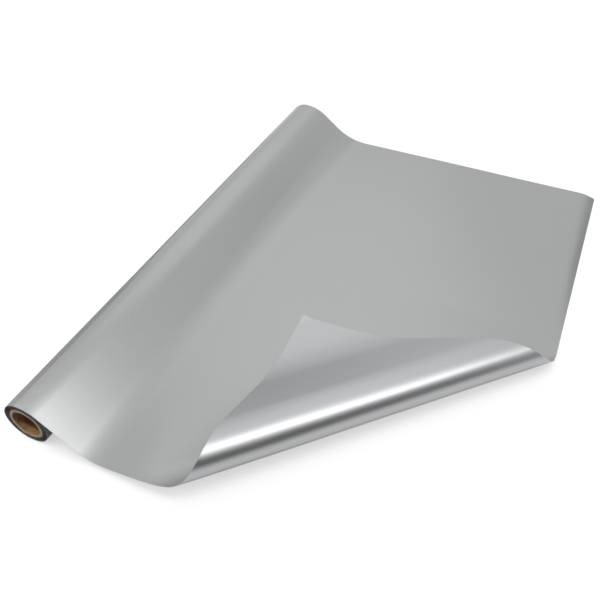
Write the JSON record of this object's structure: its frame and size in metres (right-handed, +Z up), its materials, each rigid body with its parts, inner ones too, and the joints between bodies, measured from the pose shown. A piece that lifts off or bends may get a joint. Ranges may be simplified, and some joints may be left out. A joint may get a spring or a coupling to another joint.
{
  "type": "gift wrap roll",
  "caption": "Roll of silver metallic gift wrap on a kraft board core, lying on its side with a length drawn off over the top and its near corner turned back in a soft curl.",
  "frame": {"origin": "centre of the bounding box, at the table the roll lies on", "axes": "+X the way the web is drawn off, +Y along the roll towards its far end, +Z up"},
  "size_m": [0.5067, 0.7, 0.0531],
  "materials": {
    "kraft_board": "matte spiral-wound kraft board",
    "silver_wrap": "satin silver metallic face, glossier silver reverse"
  },
  "bodies": {
    "root": {"core": "kraft_board", "wrap": "silver_wrap"}
  },
  "joints": []
}
